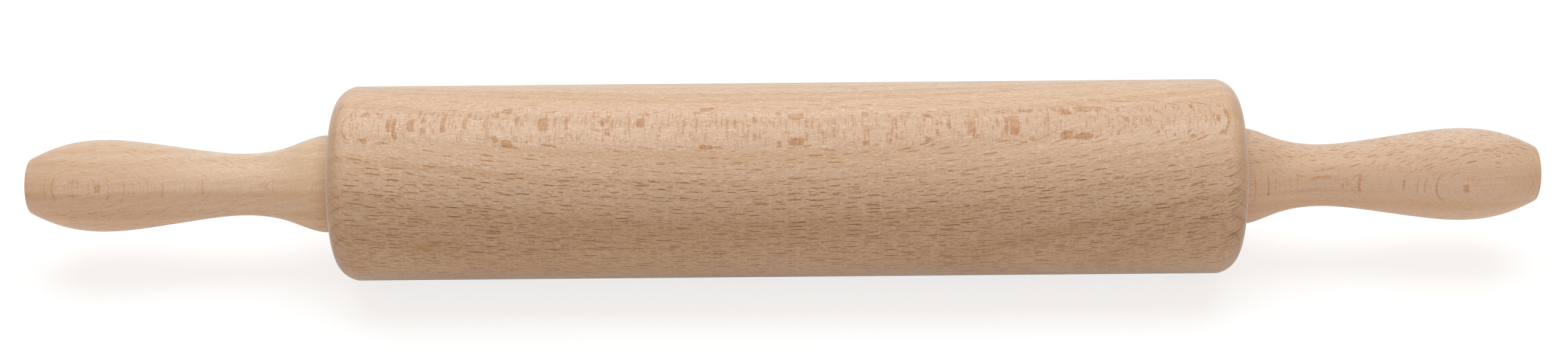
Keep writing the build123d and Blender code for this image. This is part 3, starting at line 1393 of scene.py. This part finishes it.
@dataclass
class Bearing:
    """What runs on the rod at one end of the barrel: a flanged bush and a thrust washer."""

    side: Side
    bore_radius: float = 4.08 * MM
    sleeve_radius: float = 6.08 * MM
    flange_radius: float = 9.08 * MM
    flange_thickness: float = 1.6 * MM
    flange_round: float = 0.2 * MM
    lead_in: float = 0.6 * MM
    ribs: int = 8
    rib_height: float = 0.15 * MM
    rib_facets: int = 3
    facets: int = 96
    washer_bore: float = 4.15 * MM
    washer_radius: float = 8.68 * MM
    washer_edge: float = 0.2 * MM

    def outward(self, node: str) -> tuple[float, float]:
        """Find a node's outer face and its length along the axis.

        Args:
            node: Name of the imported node.

        Returns:
            Distance of the outer face from the origin, and the length.
        """
        low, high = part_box(node)
        return max(abs(low.x), abs(high.x)), high.x - low.x

    def seated(self, shape: BMesh, face: float) -> BMesh:
        """Bring a ring modelled inwards from zero to its place on its side of the pin.

        Args:
            shape: The ring's mesh.
            face: Distance of its outer face from the origin.

        Returns:
            The same mesh, closed.
        """
        bmesh.ops.translate(shape, vec=(-face, 0, 0), verts=shape.verts)
        if self.side is Side.RIGHT:
            bmesh.ops.rotate(shape, cent=CENTRE, matrix=HALF_TURN, verts=shape.verts)
        return closed(shape)

    def bush(self, finish: Material) -> Object:
        """Turn the bush and raise the crush ribs on its sleeve.

        Args:
            finish: Nylon to wear.

        Returns:
            The bush.
        """
        word = self.side.word
        face, length = self.outward(f"{word}_bush")
        ribs_end = length - 2 * self.lead_in
        outline = [
            (0.0, self.bore_radius),
            (0.0, self.flange_radius),
            (self.flange_thickness, self.flange_radius),
            (self.flange_thickness, self.sleeve_radius),
            (ribs_end, self.sleeve_radius),
            (length - self.lead_in, self.sleeve_radius),
            (length, self.sleeve_radius - self.lead_in),
            (length, self.bore_radius),
        ]
        shape = turned(outline, self.facets, ring=True)
        per_rib = self.facets // self.ribs
        under_ribs = []
        for face_of_sleeve in shape.faces:
            centre = face_of_sleeve.calc_center_median()
            on_sleeve = self.flange_thickness < centre.x < ribs_end
            outside = centre.yz.length > (self.sleeve_radius + self.bore_radius) / 2
            turn = math.atan2(centre.y, centre.z) / math.tau * self.facets
            if on_sleeve and outside and int(turn % per_rib) < self.rib_facets:
                under_ribs.append(face_of_sleeve)
        raised = bmesh.ops.extrude_face_region(shape, geom=under_ribs)["geom"]
        tops = [part for part in raised if isinstance(part, BMVert)]
        grow = 1 + self.rib_height / self.sleeve_radius
        bmesh.ops.scale(shape, vec=(1, grow, grow), verts=tops)
        round_rim(shape, 0.0, self.flange_radius, self.flange_round)
        round_rim(shape, self.flange_thickness, self.flange_radius, self.flange_round)
        return finish_piece(
            self.seated(shape, face),
            f"nylon_bush_{word}",
            f"{word}_bush",
            Body.BARREL,
            finish,
        )

    def washer(self, finish: Material) -> Object:
        """Turn the washer, its outer edges broken.

        Args:
            finish: Nylon to wear.

        Returns:
            The washer.
        """
        word = self.side.word
        face, thickness = self.outward(f"{word}_washer")
        outline = [
            (0.0, self.washer_bore),
            (0.0, self.washer_radius - self.washer_edge),
            (self.washer_edge, self.washer_radius),
            (thickness - self.washer_edge, self.washer_radius),
            (thickness, self.washer_radius - self.washer_edge),
            (thickness, self.washer_bore),
        ]
        shape = turned(outline, self.facets, ring=True)
        return finish_piece(
            self.seated(shape, face),
            f"nylon_washer_{word}",
            f"{word}_washer",
            Body.WASHERS,
            finish,
        )


@dataclass
class Studio:
    """Pale floor, a soft lamp and the camera, set as for a catalogue picture."""

    elevation: float = ELEVATION
    distance: float = 777.6 * MM
    lens: float = 62.4
    sensor: float = 36.0
    roll: float = 0.5
    aim_right: float = 0.33 * MM
    aim_down: float = 0.19 * MM
    lamp_place: Triple = (0, 0.3, 1.3)
    lamp_size: Point = (1.8, 0.9)
    lamp_power: float = 17.5
    lamp_colour: Colour = (0.92, 0.97, 1.0)
    room_colour: Colour = (1.0, 0.86, 0.72)
    room_strength: float = 0.42
    floor_height: float = -BARREL_RADIUS * MM
    floor_reach: float = 4.0
    floor_tone: float = 0.9
    shown_tone: float = 0.3
    shown_glow: float = 0.78

    def camera(self) -> Object:
        """Set the camera up where the photograph was taken from.

        Returns:
            The camera.
        """
        data = bpy.data.cameras.new("camera")
        data.lens = self.lens
        data.sensor_width = self.sensor
        data.sensor_fit = "HORIZONTAL"
        lift = math.radians(self.elevation)
        back = Vector((0, -math.cos(lift), math.sin(lift)))
        right = Vector((1, 0, 0))
        up = right.cross(-back)
        aim = right * self.aim_right - up * self.aim_down
        camera = bpy.data.objects.new("camera", data)
        camera.location = aim + back * self.distance
        turn = (-back).to_track_quat("-Z", "Y").to_matrix()
        roll = Matrix.Rotation(math.radians(-self.roll), 3, "Z")
        camera.rotation_euler = (turn @ roll).to_euler()
        bpy.context.scene.collection.objects.link(camera)
        bpy.context.scene.camera = camera
        log.info("camera: %.0f degrees up, %.0f mm away", self.elevation, self.distance / MM)
        return camera

    def lamp(self) -> Object:
        """Hang the soft box above and a little behind, turned towards the pin.

        Returns:
            The lamp.
        """
        data = bpy.data.lights.new("key_softbox", "AREA")
        data.shape = "RECTANGLE"
        data.size, data.size_y = self.lamp_size
        data.energy = self.lamp_power
        data.color = self.lamp_colour
        place = Vector(self.lamp_place)
        lamp = bpy.data.objects.new("key_softbox", data)
        lamp.location = place
        lamp.rotation_euler = (-place).to_track_quat("-Z", "Y").to_euler()
        bpy.context.scene.collection.objects.link(lamp)
        log.info("key_softbox: %.1f W", self.lamp_power)
        return lamp

    def is_shown(self, recipe: Recipe) -> Value:
        """Tell rays that show the background from those that light the pin.

        Args:
            recipe: Recipe to add to.

        Returns:
            1 for camera, glossy and transmission rays, and 0 for others.
        """
        kinds = ("Is Camera Ray", "Is Glossy Ray", "Is Transmission Ray")
        camera, glossy, through = (recipe.read("LightPath", {}, kind) for kind in kinds)
        return camera.at_least(glossy).at_least(through)

    def room(self) -> None:
        """Fill the room with soft light and show it as plain white."""
        world = bpy.data.worlds.new("room")
        bpy.context.scene.world = world
        recipe = Recipe(world)
        feeds = {"Color": opaque(self.room_colour), "Strength": self.room_strength}
        light = recipe.read("Background", feeds)
        white = recipe.read("Background", {"Color": opaque(WHITE), "Strength": 1.0})
        recipe.node("OutputWorld", {"Surface": recipe.mixed(self.is_shown(recipe), light, white)})
        log.info("room: even light, white background")

    def pale_floor(self) -> Material:
        """Mix the floor's finish: white to the eye but for its shadows, clear from below.

        Returns:
            The floor's material.
        """
        recipe = Recipe(bpy.data.materials.new("pale_floor"))
        matt = recipe.read("BsdfDiffuse", {"Color": opaque((self.floor_tone,) * 3)})
        faint = recipe.read("BsdfDiffuse", {"Color": opaque((self.shown_tone,) * 3)})
        glow = recipe.read("Emission", {"Strength": self.shown_glow})
        lit = recipe.read("AddShader", {"Shader": faint, "Shader_001": glow})
        shown = recipe.mixed(self.is_shown(recipe), matt, lit)
        clear = recipe.read("BsdfTransparent", {})
        below = recipe.read("NewGeometry", {}, "Backfacing")
        recipe.node("OutputMaterial", {"Surface": recipe.mixed(below, shown, clear)})
        return recipe.owner

    def floor(self) -> Object:
        """Lay a pale floor that shows white and keeps a soft shadow.

        Returns:
            The floor.
        """
        shape = bmesh.new()
        bmesh.ops.create_grid(shape, x_segments=1, y_segments=1, size=self.floor_reach)
        bmesh.ops.translate(shape, vec=(0, 0, self.floor_height), verts=shape.verts)
        mesh = bpy.data.meshes.new("floor")
        shape.to_mesh(mesh)
        shape.free()
        mesh.materials.append(self.pale_floor())
        floor = bpy.data.objects.new("floor", mesh)
        bpy.context.scene.collection.objects.link(floor)
        log.info("floor: %.2f mm below the axis", -self.floor_height / MM)
        return floor

    def build(self) -> None:
        """Set up the camera, the lamp, the room and the floor."""
        self.camera()
        self.lamp()
        self.room()
        self.floor()
        bpy.context.scene.view_settings.view_transform = "Standard"


def main() -> None:
    """Build the pin piece by piece, dress it and light it."""
    logging.basicConfig(level=logging.INFO, format="%(name)s: %(message)s")
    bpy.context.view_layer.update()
    bush_nylon = MouldedNylon("bush_nylon", (0.80, 0.77, 0.68)).material()
    washer_nylon = MouldedNylon("washer_nylon", (0.72, 0.72, 0.69)).material()
    Roller().barrel(BARREL_BEECH.material())
    Axle().rod(DrawnSteel().material())
    for side in Side:
        bearing = Bearing(side)
        bearing.bush(bush_nylon)
        bearing.washer(washer_nylon)
    Handle(Side.LEFT).handle(LEFT_BEECH.material())
    Handle(Side.RIGHT).handle(RIGHT_BEECH.material())
    Studio().build()


if __name__ == "__main__":
    main()
